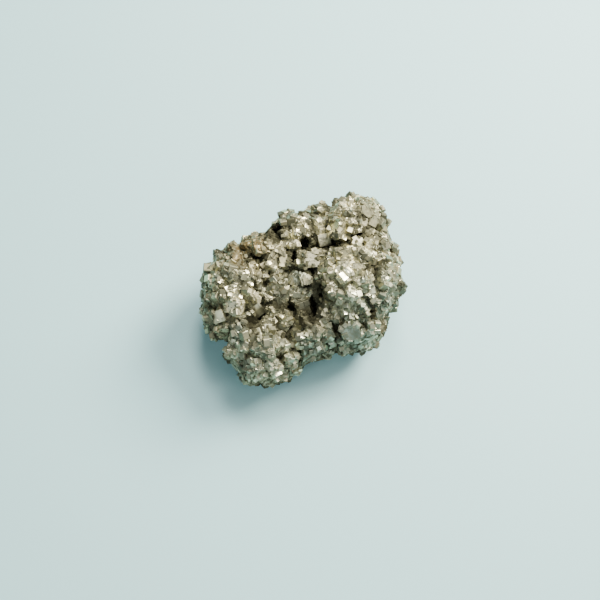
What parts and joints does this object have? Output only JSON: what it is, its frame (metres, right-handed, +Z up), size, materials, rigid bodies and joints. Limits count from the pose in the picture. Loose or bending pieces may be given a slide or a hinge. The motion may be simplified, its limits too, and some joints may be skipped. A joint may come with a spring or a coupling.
{
  "type": "pyrite specimen",
  "caption": "Small raw pyrite cluster: rounded lumps of brassy grey cubic crystals grown together, with deep crevices and a flat spot it rests on.",
  "frame": {"origin": "middle of the flat spot that the cluster rests on", "axes": "+Z up from the flat spot, +X towards the broader and taller end, +Y towards the back"},
  "size_m": [0.0367, 0.0344, 0.0202],
  "materials": {
    "pyrite": "satin"
  },
  "bodies": {
    "root": {"pyrite_cluster": "pyrite"}
  },
  "joints": []
}
